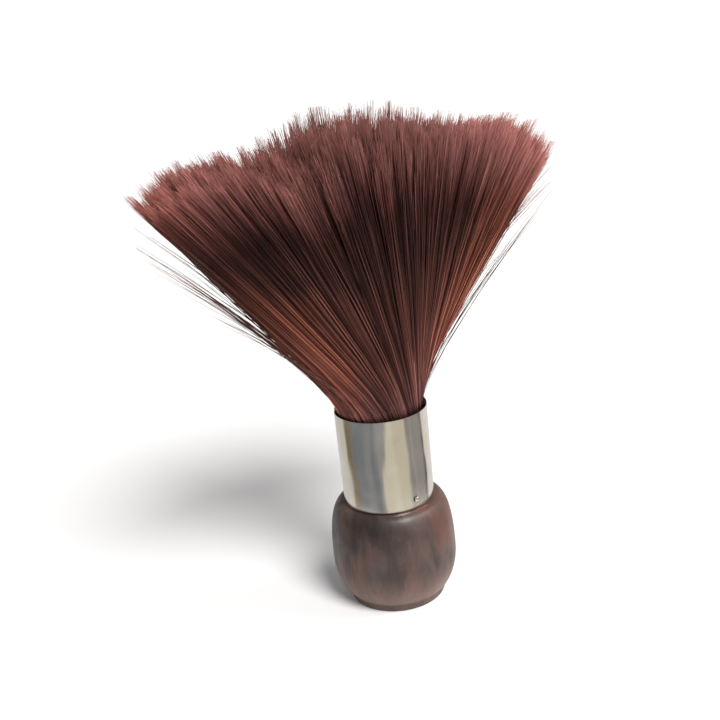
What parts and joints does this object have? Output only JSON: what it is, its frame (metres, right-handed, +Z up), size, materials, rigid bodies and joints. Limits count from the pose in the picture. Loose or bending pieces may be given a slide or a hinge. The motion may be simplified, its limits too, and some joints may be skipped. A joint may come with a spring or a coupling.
{
  "type": "neck duster brush",
  "caption": "Barber's neck duster: a wide flexible fan of dark red nylon filament set in a plated ferrule on a short turned walnut bulb handle that stands upright.",
  "frame": {"origin": "centre of the handle's flat foot, which the brush stands on", "axes": "+Z up along the handle towards the bristle tips, X across the fan's width, Y through its thickness, with -Y the front"},
  "size_m": [0.1266, 0.0416, 0.1524],
  "materials": {
    "walnut": "gloss",
    "nickel": "polished",
    "resin": "gloss",
    "waxed_thread": "matte",
    "filament": "satin"
  },
  "bodies": {
    "handle_and_ferrule": {"handle": "walnut", "ferrule": "nickel", "ferrule_brad_1": "nickel", "ferrule_brad_2": "nickel", "resin_cup": "resin", "knot_tie": "waxed_thread", "root_bundle": "filament"},
    "lock_1": {"bristle_lock_1": "filament"},
    "lock_2": {"bristle_lock_2": "filament"},
    "lock_3": {"bristle_lock_3": "filament"},
    "lock_4": {"bristle_lock_4": "filament"},
    "lock_5": {"bristle_lock_5": "filament"},
    "lock_6": {"bristle_lock_6": "filament"},
    "lock_7": {"bristle_lock_7": "filament"},
    "lock_8": {"bristle_lock_8": "filament"},
    "lock_9": {"bristle_lock_9": "filament"}
  },
  "joints": [
    {"name": "lock_1_flex", "type": "hinge", "parent": "handle_and_ferrule", "child": "lock_1", "pos_m": [0, 0, 0.0639], "axis": [0.8521, 0, 0.5233], "range_deg": [-18, 18], "stiffness_Nm_per_rad": 0.06},
    {"name": "lock_2_flex", "type": "hinge", "parent": "handle_and_ferrule", "child": "lock_2", "pos_m": [0, 0, 0.0639], "axis": [0.9159, 0, 0.4014], "range_deg": [-18, 18], "stiffness_Nm_per_rad": 0.06},
    {"name": "lock_3_flex", "type": "hinge", "parent": "handle_and_ferrule", "child": "lock_3", "pos_m": [0, 0, 0.0639], "axis": [0.9623, 0, 0.2719], "range_deg": [-18, 18], "stiffness_Nm_per_rad": 0.06},
    {"name": "lock_4_flex", "type": "hinge", "parent": "handle_and_ferrule", "child": "lock_4", "pos_m": [0, 0, 0.0639], "axis": [0.9905, 0, 0.1373], "range_deg": [-18, 18], "stiffness_Nm_per_rad": 0.06},
    {"name": "lock_5_flex", "type": "hinge", "parent": "handle_and_ferrule", "child": "lock_5", "pos_m": [0, 0, 0.0639], "axis": [1, 0, 0], "range_deg": [-18, 18], "stiffness_Nm_per_rad": 0.06},
    {"name": "lock_6_flex", "type": "hinge", "parent": "handle_and_ferrule", "child": "lock_6", "pos_m": [0, 0, 0.0639], "axis": [0.9905, 0, -0.1373], "range_deg": [-18, 18], "stiffness_Nm_per_rad": 0.06},
    {"name": "lock_7_flex", "type": "hinge", "parent": "handle_and_ferrule", "child": "lock_7", "pos_m": [0, 0, 0.0639], "axis": [0.9623, 0, -0.2719], "range_deg": [-18, 18], "stiffness_Nm_per_rad": 0.06},
    {"name": "lock_8_flex", "type": "hinge", "parent": "handle_and_ferrule", "child": "lock_8", "pos_m": [0, 0, 0.0639], "axis": [0.9159, 0, -0.4014], "range_deg": [-18, 18], "stiffness_Nm_per_rad": 0.06},
    {"name": "lock_9_flex", "type": "hinge", "parent": "handle_and_ferrule", "child": "lock_9", "pos_m": [0, 0, 0.0639], "axis": [0.8521, 0, -0.5233], "range_deg": [-18, 18], "stiffness_Nm_per_rad": 0.06}
  ]
}
